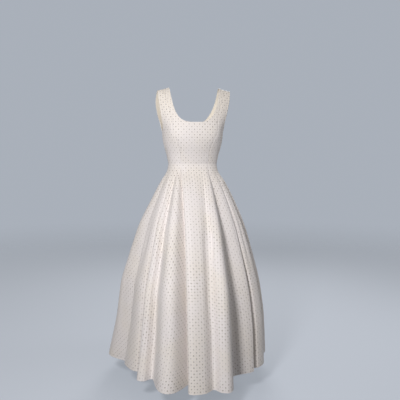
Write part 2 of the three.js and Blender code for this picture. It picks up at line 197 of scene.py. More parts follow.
def armholeAngle(side, drop):
    points = armholeCurve[side]
    v = np.linspace(0, 1, 400)
    weights = [(1 - v) ** 3, 3 * v * (1 - v) ** 2, 3 * v * v * (1 - v), v ** 3]
    angles = sum(w * p[0] for w, p in zip(weights, points))
    drops = sum(w * p[1] for w, p in zip(weights, points))
    return np.where(drop >= dress["armhole"], 90, np.interp(drop, drops, angles))


def necklineAngle(side, drop):
    depth, corner, slant = dress[side + "Neck"], dress[side + "Corner"], dress[side + "Slant"]
    share = np.clip(drop / depth, 0, 1)
    x = dress["strapInner"] * (1 - slant * share) * (1 - share ** corner) ** (1 / corner)
    return np.degrees(np.arcsin((x / readTable(bodyTable, "half", drop)) ** (dress["squareness"] / 2)))


def seamAngle(seam, drop):
    front, back = readTable(bodyTable, "frontSeam", drop), readTable(bodyTable, "backSeam", drop)
    flat = np.zeros_like(drop)
    return {
        "sideRight": flat - 90, "princessRight": -front, "princessLeft": front, "sideLeft": flat + 90,
        "backPrincessLeft": 180 - back, "centreBack": flat + 180, "backPrincessRight": 180 + back,
    }[seam]


def panelEdges(node, seams, drop):
    start, end = (seamAngle(seam, drop) for seam in seams)
    if node == "front_side_right":
        start = -armholeAngle("front", drop)
    if node == "front_side_left":
        end = armholeAngle("front", drop)
    if node == "back_side_left":
        start = 180 - armholeAngle("back", drop)
    if node == "back_side_right":
        end = 180 + armholeAngle("back", drop)
    if node == "back_left":
        end = 180 - necklineAngle("back", drop)
    if node == "back_right":
        start = 180 + necklineAngle("back", drop)
    return start, end


cloth = {
    "wall": 1.6, "inset": 0.15, "seamGap": 0.3, "seamDip": 0.9, "seamWidth": 3.0,
    "stepsPerLine": 12, "bodyRows": 84, "bodyShares": (0.52, 0.07, 0.11, 0.30), "skirtRows": 128,
    "hemTurn": 52, "hemLift": 0.5, "hemStep": 3.0, "edgeBand": 7.0, "edgeLift": 0.7, "edgeStep": 0.8,
}

zipper = {
    "opening": 5.4, "endDrop": 510, "closedDrop": 524, "teethTop": 179.5, "toothPitch": 2.6,
    "toothWidth": 2.3, "toothHeight": 1.3, "toothDepth": 1.7, "toothSink": 0.5, "toothOverlap": 0.15,
    "stitchAside": 7.0,
}


def openUntil(seam):
    # drop at which the seam begins, below an armhole or the back neckline
    if seam in ("sideRight", "sideLeft"):
        return dress["armhole"]
    return dress["backNeck"] if seam == "centreBack" else 0


def halfGap(seam, drop):
    if seam != "centreBack":
        return np.full_like(drop, cloth["seamGap"] / 2)
    closing = np.clip((drop - zipper["endDrop"]) / (zipper["closedDrop"] - zipper["endDrop"]), 0, 1)
    return (zipper["opening"] + (cloth["seamGap"] - zipper["opening"]) * closing) / 2


# smaller creases: fold line, its drift by the foot, top and foot drops, width in lines, height
creases = (
    (8.6, 0.10, 470, 780, 0.16, -7.0),
    (9.35, 0.00, 900, 1180, 0.22, -3.0),
    (14.62, -0.10, 470, 760, 0.15, -6.5),
    (13.55, 0.10, 600, 1000, 0.22, -4.5),
    (12.85, -0.10, 350, 480, 0.18, -2.2),
    (15.05, -0.15, 350, 470, 0.16, -2.0),
    (12.45, 0.15, 520, 900, 0.25, 2.5),
    (5.3, 0.10, 700, 1150, 0.20, -4.0),
    (3.4, -0.10, 520, 900, 0.22, -3.5),
    (1.2, 0.15, 640, 1080, 0.25, -4.0),
    (7.3, 0.10, 620, 960, 0.18, -2.5),
    (18.5, 0.10, 560, 980, 0.22, -3.5),
    (21.4, -0.10, 480, 860, 0.20, -4.5),
    (22.6, 0.10, 760, 1160, 0.22, -3.0),
    (24.6, -0.10, 560, 1000, 0.22, -3.5),
    (28.4, 0.10, 520, 960, 0.22, -4.0),
    (31.3, -0.10, 640, 1120, 0.20, -4.0),
    (34.4, 0.10, 470, 900, 0.22, -3.5),
    (36.6, -0.10, 700, 1150, 0.20, -3.0),
    (39.5, 0.10, 500, 880, 0.20, -3.5),
    (42.6, 0.10, 620, 1080, 0.22, -4.0),
    (45.4, -0.10, 540, 980, 0.20, -4.0),
    (48.5, 0.10, 600, 1120, 0.22, -3.5),
)


def creaseRelief(u, drop):
    height = np.zeros_like(u)
    for line, drift, top, foot, width, amount in creases:
        share = (drop - top) / (foot - top)
        inside = np.clip(share, 0, 1)
        fade = np.sin(math.pi * inside) ** 0.8 * (0.75 + 0.25 * np.sin(9 * inside + line))
        away = (u - line - drift * inside) / width
        height += amount * fade * np.exp(-away ** 2)
    return height


# the slow unevenness of the cloth, stronger lower down;
# each wave has its share of the height, how fast it turns across and down, and its start
swell = {
    "height": 1.6, "startDrop": 380, "fullDrop": 680,
    "waves": ((1.0, 1.7, 131, 0.4), (0.7, 2.9, -83, 2.1), (0.5, 0.8, 47, 1.3)),
}


def swellRelief(u, drop):
    height, whole = np.zeros_like(u), 0.0
    for share, across, down, start in swell["waves"]:
        height = height + share * np.sin(across * u + drop / down + start)
        whole += share
    grown = np.clip((drop - swell["startDrop"]) / (swell["fullDrop"] - swell["startDrop"]), 0, 1)
    return swell["height"] * height * grown / whole


def bodyDrops():
    # levels of the fitted part, closer together at the shoulder and where an opening bottoms out
    stops = (0, dress["frontNeck"], dress["backNeck"], dress["armhole"], dress["waist"])
    rows = []
    for top, foot, share in zip(stops[:-1], stops[1:], cloth["bodyShares"]):
        count = max(int(cloth["bodyRows"] * share), 4)
        t = np.arange(count) / count
        if top == 0:
            t = 0.5 - 0.5 * np.cos(math.pi * t)
        elif foot != dress["waist"]:
            t = np.sin(math.pi / 2 * t)
        rows.extend(top + (foot - top) * t)
    return np.array(rows)


def panelLines(foldRange):
    # the fold lines at a panel's two sides, each in the trough before or after a fold
    first, last = foldRange
    return linesPerFold * first - 1, linesPerFold * (last + 1) - 1


def panelColumns(foldRange):
    first, last = panelLines(foldRange)
    return np.linspace(first, last, cloth["stepsPerLine"] * (last - first) + 1)


farAway = 1000.0  # millimetres, for a distance not measured yet


def distanceTo(line, points):
    # from each point to a line of points, with three more put between each two of them
    share = np.linspace(0, 1, 5)[:-1, None, None]
    dense = (line[:-1] * (1 - share) + line[1:] * share).reshape(-1, 3)
    dense = np.concatenate([dense, line[-1:]])
    nearest = np.full(points.shape[:-1], farAway)
    for place in dense:
        nearest = np.minimum(nearest, np.linalg.norm(points - place, axis=-1))
    return nearest


def fittedPart(node, seams, share, part, foldShare):
    # rows from the shoulder to the waist: points, normals, runs, drops and angles
    drop = bodyDrops()[:, None]
    start, end = panelEdges(node, seams, drop)
    settle = smoothStep(dress["armhole"], dress["waist"], drop)
    angle = start + (end - start) * (part + (foldShare - part) * settle)
    if node == "front_centre":
        edge = necklineAngle("front", drop)
        if share[1] <= 0.5:
            strapAngle = start + (-edge - start) * part * 2
        else:
            strapAngle = edge + (end - edge) * (part * 2 - 1)
        angle = np.where(drop < dress["frontNeck"], strapAngle, angle)
    drop = np.broadcast_to(drop, angle.shape)
    points = bodyPoint(angle, drop)
    normals, runs = surfaceFrame(bodyPoint, angle, drop, 0.2)
    frontOrBack = np.where(np.cos(np.radians(angle)) > 0, -1, 1)
    points[..., 1] += np.where(drop <= 0, frontOrBack, 0) * cloth["seamGap"] / 2
    return points, normals, runs, drop, angle


def skirtPart(u):
    # rows from the waist to the hem: points, normals, runs and drops
    drop = np.linspace(dress["waist"], dress["hem"], cloth["skirtRows"])[:, None]
    u = np.broadcast_to(u, (len(drop), u.size))
    drop = np.broadcast_to(drop, u.shape)
    normals, runs = surfaceFrame(skirtPoint, u, drop, 0.03)
    return skirtPoint(u, drop), normals, runs, drop


def flatPlaces(node, foldRange, u, angle, bodyDrop, skirtDrop):
    # where each point lies on the flat cloth: across from the panel's middle, and down from the waist
    columns = panelColumns(foldRange)
    waistAngles = onFolds("waist", columns)
    middle = np.array([sum(panelLines(foldRange)) / 2])
    middleAngle = 0.0 if node == "front_centre" else float(onFolds("waist", middle)[0])
    fan = np.linspace(middleAngle - 110, middleAngle + 110, 441)  # every half degree, past both sides
    bodyLength = lengthAlong(bodyPoint(fan[None, :], bodyDrop[:, None]))
    flatBody = [
        np.interp(row, fan, length) - np.interp(middleAngle, fan, length)
        for row, length in zip(angle, bodyLength)
    ]
    centre = np.interp(middleAngle, waistAngles, columns)
    skirtLength = lengthAlong(skirtPoint(columns[None, :], skirtDrop[:, None]))
    flatSkirt = [
        np.interp(u, columns, length) - np.interp(centre, columns, length)
        for length in skirtLength
    ]
    spine = np.concatenate([bodyPoint(middleAngle, bodyDrop), skirtPoint(centre, skirtDrop)])
    spineLength = lengthAlong(spine)
    down = spineLength - spineLength[len(bodyDrop)]
    across = np.array(flatBody + flatSkirt)
    return np.stack([across, np.broadcast_to(-down[:, None], across.shape)], -1)


def clothRelief(points, flat, lines, drops, seams, share, bodyCount):
    # creases and unevenness, the dip at each seam, the band at open edges and the turned hem
    relief = np.where(drops > dress["waist"], creaseRelief(lines, drops) + swellRelief(lines, drops), 0)
    ease, dip = np.zeros_like(relief), np.zeros_like(relief)
    toEdge = np.full_like(relief, farAway)
    for side, column in ((0, 0), (1, -1)):
        toSide = np.abs(flat[..., 0] - flat[:, column][:, None, 0])
        atSeam = share[side] == side
        openRows = drops[:, column] < (openUntil(seams[side]) if atSeam else dress["frontNeck"])
        if atSeam:
            ease = np.maximum(ease, np.exp(-(toSide / (6 * cloth["seamWidth"])) ** 2))
            dip = np.maximum(dip, np.exp(-(toSide / cloth["seamWidth"]) ** 2) * ~openRows[:, None])
        if openRows.any():
            reach = distanceTo(points[openRows, column], points[:bodyCount])
            toEdge[:bodyCount] = np.minimum(toEdge[:bodyCount], reach)
    relief = relief * (1 - ease) - cloth["seamDip"] * dip
    band = 1 - smoothStep(cloth["edgeBand"] - cloth["edgeStep"], cloth["edgeBand"], toEdge)
    relief += cloth["edgeLift"] * band * smoothStep(-1, 1.2, toEdge)
    turnTop = dress["hem"] - cloth["hemTurn"]
    return relief + cloth["hemLift"] * smoothStep(turnTop - cloth["hemStep"], turnTop, drops)


def clothStrip(node, foldRange, seams, share):
    # outer points, normals and flat places of one strip of a panel, row by row
    columns = panelColumns(foldRange)
    count = len(columns) - 1
    index = np.arange(round(share[0] * count), round(share[1] * count) + 1)
    u = columns[index][None, :]
    waistAngles = onFolds("waist", columns)
    foldShare = (waistAngles - waistAngles[0]) / (waistAngles[-1] - waistAngles[0])

    body = fittedPart(node, seams, share, (index / count)[None, :], foldShare[index][None, :])
    skirt = skirtPart(u)
    points, normals, runs, drops = (np.concatenate(pair) for pair in zip(body[:4], skirt))
    bodyCount = len(body[3])
    flat = flatPlaces(node, foldRange, u[0], body[4], drops[:bodyCount, 0], drops[bodyCount:, 0])
    lines = np.broadcast_to(u, drops.shape)
    relief = clothRelief(points, flat, lines, drops, seams, share, bodyCount)
    points = points + normals * (relief - cloth["inset"])[..., None]

    for side, column, way in ((0, 0, 1), (1, -1, -1)):
        if share[side] != side:
            continue
        gap = halfGap(seams[side], drops[:, column]) * (drops[:, column] >= openUntil(seams[side]))
        points[:, column] += runs[:, column] * (way * gap)[:, None]
    return {"points": points, "normals": normals, "flat": flat, "drops": drops}


def addPiece(name, mesh):
    piece = bpy.data.objects.new(name, mesh)
    bpy.context.collection.objects.link(piece)
    return piece


def gridQuads(rows, columns, offset=0):
    at = offset + np.arange(rows * columns).reshape(rows, columns)
    return np.stack([at[:-1, :-1], at[1:, :-1], at[1:, 1:], at[:-1, 1:]], -1).reshape(-1, 4)


def joinStrips(strips):
    # outer and inner places, flat places, and faces on each, with the strips welded where they meet
    offset = 0
    corners = []
    for strip in strips:
        rows, columns = strip["drops"].shape
        corners.append(gridQuads(rows, columns, offset))
        offset += rows * columns
    corners = np.concatenate(corners)
    outer = np.concatenate([strip["points"].reshape(-1, 3) for strip in strips])
    normals = np.concatenate([strip["normals"].reshape(-1, 3) for strip in strips])
    flat = np.concatenate([strip["flat"].reshape(-1, 2) for strip in strips])
    inner = outer - normals * cloth["wall"]
    first, inverse = np.unique(np.round(outer, 3), axis=0, return_index=True, return_inverse=True)[1:]
    quads = inverse.reshape(-1)[corners]
    keep = np.array([len(set(quad)) >= 3 for quad in quads.tolist()])
    return outer[first], inner[first], flat, quads[keep], corners[keep]


def rimQuads(quads, corners, size):
    # faces that close the wall along its cut edges, and their places on the flat cloth
    edges = np.concatenate([quads[:, [i, (i + 1) % 4]] for i in range(4)])
    flats = np.concatenate([corners[:, [i, (i + 1) % 4]] for i in range(4)])
    real = edges[:, 0] != edges[:, 1]
    edges, flats = edges[real], flats[real]
    forward = edges[:, 0].astype(np.int64) * size + edges[:, 1]
    backward = edges[:, 1].astype(np.int64) * size + edges[:, 0]
    border = ~np.isin(forward, backward)
    start, end = edges[border].T
    rim = np.stack([end, start, start + size, end + size], -1)
    start, end = flats[border].T
    return rim, np.stack([end, start, start, end], -1)


def wallMesh(name, strips, outside, inside):
    # a closed wall with these strips as its outer face; its faces point out
    outer, inner, flat, quads, corners = joinStrips(strips)
    size = len(outer)
    rim, rimFlat = rimQuads(quads, corners, size)
    faces, faceCorners, slots = [], [], []
    groups = ((quads, corners, 0), (quads[:, ::-1] + size, corners[:, ::-1], 1), (rim, rimFlat, 0))
    for group, groupFlat, material in groups:
        for face, flatCorners in zip(group.tolist(), groupFlat.tolist()):
            kept = {}
            for vertex, corner in zip(face, flatCorners):
                kept.setdefault(vertex, corner)
            faces.append(list(kept))
            faceCorners.extend(kept.values())
            slots.append(material)

    mesh = bpy.data.meshes.new(name)
    mesh.from_pydata((np.concatenate([outer, inner]) * mm).tolist(), [], faces)
    layer = mesh.uv_layers.new(name="flatCloth")
    layer.data.foreach_set("uv", (flat[np.array(faceCorners)] * mm).ravel())
    mesh.polygons.foreach_set("material_index", np.array(slots, np.int32))
    mesh.polygons.foreach_set("use_smooth", np.ones(len(faces), bool))
    mesh.materials.append(outside)
    mesh.materials.append(inside)
    mesh.update()
    # the cut edge of the wall stays crisp
    rimFaces = mesh.polygons[len(faces) - len(rim):]
    rimEdges = {key for polygon in rimFaces for key in polygon.edge_keys}
    mesh.edges.foreach_set("use_edge_sharp", [edge.key in rimEdges for edge in mesh.edges])
    return addPiece(name, mesh)


def newMaterial(name):
    material = bpy.data.materials.new(name)
    material.use_nodes = True
    tree = material.node_tree
    tree.nodes.clear()
    output = tree.nodes.new("ShaderNodeOutputMaterial")
    shader = tree.nodes.new("ShaderNodeBsdfPrincipled")
    tree.links.new(shader.outputs["BSDF"], output.inputs["Surface"])
    return material, tree, shader


def calc(tree, operation, *values):
    node = tree.nodes.new("ShaderNodeMath")
    node.operation = operation
    for socket, value in zip(node.inputs, values):
        if isinstance(value, (int, float)):
            socket.default_value = value
        else:
            tree.links.new(value, socket)
    return node.outputs[0]


def remap(tree, value, low, high, outLow, outHigh, kind="SMOOTHSTEP"):
    node = tree.nodes.new("ShaderNodeMapRange")
    node.interpolation_type = kind
    tree.links.new(value, node.inputs["Value"])
    for name, number in (("From Min", low), ("From Max", high), ("To Min", outLow), ("To Max", outHigh)):
        node.inputs[name].default_value = number
    return node.outputs["Result"]


def mixColour(tree, factor, first, second):
    node = tree.nodes.new("ShaderNodeMix")
    node.data_type = "RGBA"
    tree.links.new(factor, node.inputs["Factor"])
    for socket, value in ((node.inputs["A"], first), (node.inputs["B"], second)):
        if isinstance(value, tuple):
            socket.default_value = (*value, 1)
        else:
            tree.links.new(value, socket)
    return node.outputs["Result"]


def addBump(tree, shader, height, strength, distance):
    bump = tree.nodes.new("ShaderNodeBump")
    bump.inputs["Strength"].default_value = strength
    bump.inputs["Distance"].default_value = distance
    tree.links.new(height, bump.inputs["Height"])
    tree.links.new(bump.outputs["Normal"], shader.inputs["Normal"])


def flatPlace(tree):
    node = tree.nodes.new("ShaderNodeUVMap")
    node.uv_map = "flatCloth"
    return node.outputs["UV"]


def noise(tree, vector, scale, detail=2.0):
    node = tree.nodes.new("ShaderNodeTexNoise")
    tree.links.new(vector, node.inputs["Vector"])
    node.inputs["Scale"].default_value = scale
    node.inputs["Detail"].default_value = detail
    return node.outputs["Fac"]


def patches(tree, place, scale, low, high, least, most, detail=2.0):
    # a soft patchiness between two values
    return remap(tree, noise(tree, place, scale, detail), low, high, least, most)


eyelet = {  # lengths in millimetres; the heights of the painted strap shade are in metres above the waist
    "spacing": 11.6, "largeHole": 2.8, "smallHole": 1.5, "ringWidth": 1.6, "weavePitch": 1.1, "relief": 0.8,
    "ringRise": 0.8, "weaveRise": 0.07, "slubRise": 0.16, "slubScale": 340.0,
    "clothColour": (0.80, 0.755, 0.735), "warmColour": (0.78, 0.72, 0.63), "strapShadeAndYellowHeights": (0.10, 0.30),
    "threadColour": (0.90, 0.87, 0.865), "threadShare": 0.8, "paintedGlintShare": 0.35,
    "holeLiningAndShadeColour": (0.30, 0.255, 0.20), "holeShare": 0.9, "leastOpen": 0.7,
    "wornPatches": (6.0, 0.36, 0.62, 0.55, 1), "warmPatches": (7.0, 0.35, 0.7, 0, 0.7),
    "paintedGlints": (230.0, 0.3, 0.7, 0, 1, 1.0),  # scale, limits of the noise, values at them
}


def eyeletMaterial():
    # large and small eyelets by turns, each with a raised stitched ring, on a fine plain weave
    material, tree, shader = newMaterial("eyeletCotton")
    place = flatPlace(tree)
    split = tree.nodes.new("ShaderNodeSeparateXYZ")
    tree.links.new(place, split.inputs[0])
    squares, numbers = [], []
    for axis in ("X", "Y"):
        cells = calc(tree, "MULTIPLY", split.outputs[axis], 1 / (eyelet["spacing"] * mm))
        number = calc(tree, "FLOOR", cells)
        share = calc(tree, "SUBTRACT", calc(tree, "SUBTRACT", cells, number), 0.5)
        offset = calc(tree, "MULTIPLY", share, eyelet["spacing"])
        squares.append(calc(tree, "MULTIPLY", offset, offset))
        numbers.append(number)
    distance = calc(tree, "SQRT", calc(tree, "ADD", *squares))
    small = calc(tree, "FLOORED_MODULO", calc(tree, "ADD", *numbers), 2)
    shrink = calc(tree, "MULTIPLY", small, eyelet["largeHole"] - eyelet["smallHole"])
    beyond = calc(tree, "SUBTRACT", calc(tree, "ADD", distance, shrink), eyelet["largeHole"])
    chance = tree.nodes.new("ShaderNodeTexWhiteNoise")
    chance.noise_dimensions = "2D"
    cellPlace = tree.nodes.new("ShaderNodeCombineXYZ")
    tree.links.new(numbers[0], cellPlace.inputs["X"])
    tree.links.new(numbers[1], cellPlace.inputs["Y"])
    tree.links.new(cellPlace.outputs[0], chance.inputs["Vector"])
    openness = remap(tree, chance.outputs["Value"], 0, 1, eyelet["leastOpen"], 1, "LINEAR")
    openness = calc(tree, "MULTIPLY", openness, patches(tree, place, *eyelet["wornPatches"]))
    # the holes are painted dark: the underlayer's own colour together with painted shade inside each eyelet
    hole = calc(tree, "MULTIPLY", remap(tree, beyond, -0.5, 0.3, 1, 0), openness)
    ringStart = remap(tree, beyond, 0, 0.5, 0, 1)
    ringEnd = remap(tree, beyond, eyelet["ringWidth"] - 0.4, eyelet["ringWidth"] + 0.3, 1, 0)
    ring = calc(tree, "MULTIPLY", ringStart, ringEnd)

    # painted shade: the straps, high above the waist, turn to the darker warm colour, their yellower tone and
    # their shade painted together; the random warm patches beside it are ageing
    strapShadeAndYellowing = remap(tree, split.outputs["Y"], *eyelet["strapShadeAndYellowHeights"], 0, 1)
    ageingAndStrapShade = calc(tree, "MAXIMUM", patches(tree, place, *eyelet["warmPatches"]), strapShadeAndYellowing)
    # painted highlight: glints of sparkle painted as fine specks of the lighter thread colour
    paintedGlint = patches(tree, place, *eyelet["paintedGlints"])
    colour = mixColour(tree, ageingAndStrapShade, eyelet["clothColour"], eyelet["warmColour"])
    layers = (
        (paintedGlint, "paintedGlintShare", "threadColour"),
        (ring, "threadShare", "threadColour"),
        (hole, "holeShare", "holeLiningAndShadeColour"),
    )
    for mask, share, name in layers:
        colour = mixColour(tree, calc(tree, "MULTIPLY", mask, eyelet[share]), colour, eyelet[name])
    tree.links.new(colour, shader.inputs["Base Color"])

    waves = 2 * math.pi / (eyelet["weavePitch"] * mm)
    weaveAcross = calc(tree, "SINE", calc(tree, "MULTIPLY", split.outputs["X"], waves))
    weaveDown = calc(tree, "SINE", calc(tree, "MULTIPLY", split.outputs["Y"], waves))
    weave = calc(tree, "MULTIPLY", weaveAcross, weaveDown)
    slub = noise(tree, place, eyelet["slubScale"], 3.0)
    height = calc(tree, "SUBTRACT", calc(tree, "MULTIPLY", ring, eyelet["ringRise"]), hole)
    height = calc(tree, "ADD", height, calc(tree, "MULTIPLY", weave, eyelet["weaveRise"]))
    height = calc(tree, "ADD", height, calc(tree, "MULTIPLY", slub, eyelet["slubRise"]))
    addBump(tree, shader, height, 0.8, eyelet["relief"] * mm)
    tree.links.new(remap(tree, ring, 0, 1, 0.75, 0.5, "LINEAR"), shader.inputs["Roughness"])
    shader.inputs["Sheen Weight"].default_value = 0.25
    shader.inputs["Sheen Roughness"].default_value = 0.45
    shader.inputs["Specular IOR Level"].default_value = 0.4
    return material


lining = {"dark": (0.76, 0.70, 0.60), "light": (0.82, 0.77, 0.68), "relief": 0.3, "roughness": (0.7, 0.85)}


def liningMaterial():
    material, tree, shader = newMaterial("ivoryLining")
    place = flatPlace(tree)
    patch = noise(tree, place, 14.0)
    shade = mixColour(tree, patch, lining["dark"], lining["light"])
    tree.links.new(shade, shader.inputs["Base Color"])
    fine = noise(tree, place, 900.0)
    addBump(tree, shader, fine, 0.25, lining["relief"] * mm)
    tree.links.new(remap(tree, fine, 0, 1, *lining["roughness"], "LINEAR"), shader.inputs["Roughness"])
    shader.inputs["Sheen Weight"].default_value = 0.15
    return material


def objectPlace(tree):
    return tree.nodes.new("ShaderNodeTexCoord").outputs["Object"]


sewingThread = {"dark": (0.80, 0.76, 0.68), "light": (0.92, 0.89, 0.83), "roughness": 0.6}


def threadMaterial():
    material, tree, shader = newMaterial("ivoryThread")
    twist = noise(tree, objectPlace(tree), 400.0)
    shade = mixColour(tree, twist, sewingThread["dark"], sewingThread["light"])
    tree.links.new(shade, shader.inputs["Base Color"])
    shader.inputs["Roughness"].default_value = sewingThread["roughness"]
    return material


zipTape = {
    "edge": 1.0, "width": 11.0, "thickness": 0.9, "gap": 0.8, "columns": 12,
    "herringbone": 1.6, "ribPitch": 1.2, "relief": 0.2,
    "dark": (0.74, 0.69, 0.60), "light": (0.84, 0.80, 0.72), "roughness": 0.85,
}


def tapeMaterial():
    material, tree, shader = newMaterial("zipTapeCotton")
    place = flatPlace(tree)
    split = tree.nodes.new("ShaderNodeSeparateXYZ")
    tree.links.new(place, split.inputs[0])
    slant = calc(tree, "PINGPONG", split.outputs["X"], zipTape["herringbone"] * mm)
    slanted = calc(tree, "ADD", split.outputs["Y"], slant)
    rib = calc(tree, "SINE", calc(tree, "MULTIPLY", slanted, 2 * math.pi / (zipTape["ribPitch"] * mm)))
    shade = mixColour(tree, noise(tree, place, 60.0), zipTape["dark"], zipTape["light"])
    tree.links.new(shade, shader.inputs["Base Color"])
    addBump(tree, shader, rib, 0.4, zipTape["relief"] * mm)
    shader.inputs["Roughness"].default_value = zipTape["roughness"]
    return material


zipMetal = {"dark": (0.50, 0.48, 0.44), "light": (0.72, 0.71, 0.69), "roughness": (0.42, 0.26), "metal": 0.95}


def nickelMaterial():
    material, tree, shader = newMaterial("wornNickel")
    wear = noise(tree, objectPlace(tree), 700.0, 4.0)
    shade = mixColour(tree, wear, zipMetal["dark"], zipMetal["light"])
    tree.links.new(shade, shader.inputs["Base Color"])
    tree.links.new(remap(tree, wear, 0.3, 0.7, *zipMetal["roughness"], "LINEAR"), shader.inputs["Roughness"])
    shader.inputs["Metallic"].default_value = zipMetal["metal"]
    return material


eyeletCloth = eyeletMaterial()
liningCloth = liningMaterial()
thread = threadMaterial()
tapeCotton = tapeMaterial()
nickel = nickelMaterial()
print("materials made")

panels = (  # node, piece, first and last fold, seams at its two sides
    ("front_side_right", "panelFrontSideRight", (0, 3), ("sideRight", "princessRight")),
    ("front_centre", "panelFrontCentre", (4, 5), ("princessRight", "princessLeft")),
    ("front_side_left", "panelFrontSideLeft", (6, 8), ("princessLeft", "sideLeft")),
    ("back_side_left", "panelBackSideLeft", (9, 10), ("sideLeft", "backPrincessLeft")),
    ("back_left", "panelBackLeft", (11, 12), ("backPrincessLeft", "centreBack")),
    ("back_right", "panelBackRight", (13, 14), ("centreBack", "backPrincessRight")),
    ("back_side_right", "panelBackSideRight", (15, 16), ("backPrincessRight", "sideRight")),
)


def makePanel(node, name, foldRange, seams):
    shares = ((0, 0.5), (0.5, 1)) if node == "front_centre" else ((0, 1),)
    strips = [clothStrip(node, foldRange, seams, share) for share in shares]
    piece = wallMesh(name, strips, eyeletCloth, liningCloth)
    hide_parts(node)
    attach(piece, "dress")
    flat = np.concatenate([strip["flat"].reshape(-1, 2) for strip in strips]) * mm
    width, length = flat.max(axis=0) - flat.min(axis=0)
    width, length = math.ceil(width * 100) / 100, math.ceil(length * 100) / 100
    return strips


panelStrips = {}
for node, name, foldRange, seams in panels:
    panelStrips[node] = makePanel(node, name, foldRange, seams)
print("panels made")


def alongPathTree(name, tool):
    # instances of a small mesh, spaced along the path and turned with it
    tree = bpy.data.node_groups.new(name, "GeometryNodeTree")
    sockets = {}
    tree.interface.new_socket("Path", in_out="INPUT", socket_type="NodeSocketGeometry")
    for label, value in (("Spacing", 0.003), ("Width", 0.0004), ("Height", 0.0004), ("Length", 0.002)):
        socket = tree.interface.new_socket(label, in_out="INPUT", socket_type="NodeSocketFloat")
        socket.default_value = value
        sockets[label] = socket.identifier
    socket = tree.interface.new_socket("Finish", in_out="INPUT", socket_type="NodeSocketMaterial")
    sockets["Finish"] = socket.identifier
    tree.interface.new_socket("Pieces", in_out="OUTPUT", socket_type="NodeSocketGeometry")
    add, link = tree.nodes.new, tree.links.new
    start, end = add("NodeGroupInput"), add("NodeGroupOutput")
    curve, spaced = add("GeometryNodeMeshToCurve"), add("GeometryNodeResampleCurve")
    spaced.mode = "LENGTH"
    link(start.outputs["Path"], curve.inputs["Mesh"])
    link(curve.outputs["Curve"], spaced.inputs["Curve"])
    link(start.outputs["Spacing"], spaced.inputs["Length"])
    if tool == "stitch":
        single = add("GeometryNodeMeshUVSphere")
        single.inputs["Segments"].default_value = 6
        single.inputs["Rings"].default_value = 4
        single.inputs["Radius"].default_value = 0.5
    else:
        single = add("GeometryNodeMeshCube")
        single.inputs["Size"].default_value = (1, 1, 1)
    tangent = add("GeometryNodeInputTangent")
    outward = add("GeometryNodeInputNamedAttribute")
    outward.data_type = "FLOAT_VECTOR"
    outward.inputs["Name"].default_value = "outward"
    alignAlong = add("FunctionNodeAlignRotationToVector")
    alignOut = add("FunctionNodeAlignRotationToVector")
    alignAlong.axis = "Z"
    alignOut.axis = "Y"
    alignOut.pivot_axis = "Z"
    link(tangent.outputs["Tangent"], alignAlong.inputs["Vector"])
    link(alignAlong.outputs["Rotation"], alignOut.inputs["Rotation"])
    link(outward.outputs["Attribute"], alignOut.inputs["Vector"])
    size = add("ShaderNodeCombineXYZ")
    for axis, label in (("X", "Width"), ("Y", "Height"), ("Z", "Length")):
        link(start.outputs[label], size.inputs[axis])
    copies = add("GeometryNodeInstanceOnPoints")
    link(spaced.outputs["Curve"], copies.inputs["Points"])
    link(single.outputs["Mesh"], copies.inputs["Instance"])
    link(alignOut.outputs["Rotation"], copies.inputs["Rotation"])
    link(size.outputs["Vector"], copies.inputs["Scale"])
    realize, finish = add("GeometryNodeRealizeInstances"), add("GeometryNodeSetMaterial")
    link(copies.outputs["Instances"], realize.inputs["Geometry"])
    link(realize.outputs["Geometry"], finish.inputs["Geometry"])
    link(start.outputs["Finish"], finish.inputs["Material"])
    link(finish.outputs["Geometry"], end.inputs["Pieces"])
    return tree, sockets


def alongPaths(name, tool, paths, spacing, size, finish):
    # paths is a list of (points, outward directions), in millimetres
    vertices, edges, directions = [], [], []
    for points, outs in paths:
        base = len(vertices)
        vertices.extend((np.asarray(points) * mm).tolist())
        directions.extend(np.asarray(outs).tolist())
        edges.extend((base + i, base + i + 1) for i in range(len(points) - 1))
    mesh = bpy.data.meshes.new(name + "Path")
    mesh.from_pydata(vertices, edges, [])
    outward = mesh.attributes.new("outward", "FLOAT_VECTOR", "POINT")
    outward.data.foreach_set("vector", np.array(directions, np.float32).ravel())
    path = addPiece(name + "Path", mesh)
    tree, sockets = alongPathTree(name + "Tree", tool)
    modifier = path.modifiers.new("Along", "NODES")
    modifier.node_group = tree
    for label, value in zip(("Spacing", "Width", "Height", "Length"), (spacing, *size)):
        modifier[sockets[label]] = value * mm
    modifier[sockets["Finish"]] = finish
    graph = bpy.context.evaluated_depsgraph_get()
    made = bpy.data.meshes.new_from_object(path.evaluated_get(graph))
    made.name = name
    bpy.data.objects.remove(path)
    piece = addPiece(name, made)
    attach(piece, "dress")
    return piece


def fromEdge(strip, column):
    # a strip's points and normals, counted from its first column or from its last, -1
    step = -1 if column == -1 else 1
    return strip["points"][:, ::step], strip["normals"][:, ::step]


def valueAt(distance, length, values):
    # one point or direction, at a distance along a line
    return np.array([np.interp(distance, length, values[:, k]) for k in range(3)])


stitching = {  # millimetres; the stops are how far above an opening's lowest point a line ends
    "pitch": 2.8, "length": 2.0, "thickness": 0.34, "flatness": 0.7, "lift": 0.05,
    "edgeInset": 4.0, "necklineStop": 6, "armholeStop": 8, "belowZip": 6,
}


def insetRow(strip, column, inset, first, last):
    # points a set distance in from one edge of a strip, following the cloth
    points, normals = fromEdge(strip, column)
    places, outs = [], []
    for row in range(first, last):
        length = lengthAlong(points[row])
        if length[-1] < 2 * inset:
            continue
        outs.append(unit(valueAt(inset, length, normals[row])))
        places.append(valueAt(inset, length, points[row]) + outs[-1] * stitching["lift"])
    return np.array(places), np.array(outs)


def rowsBetween(strip, low, high):
    drops = strip["drops"][:, 0]
    return int(np.searchsorted(drops, low)), int(np.searchsorted(drops, high))


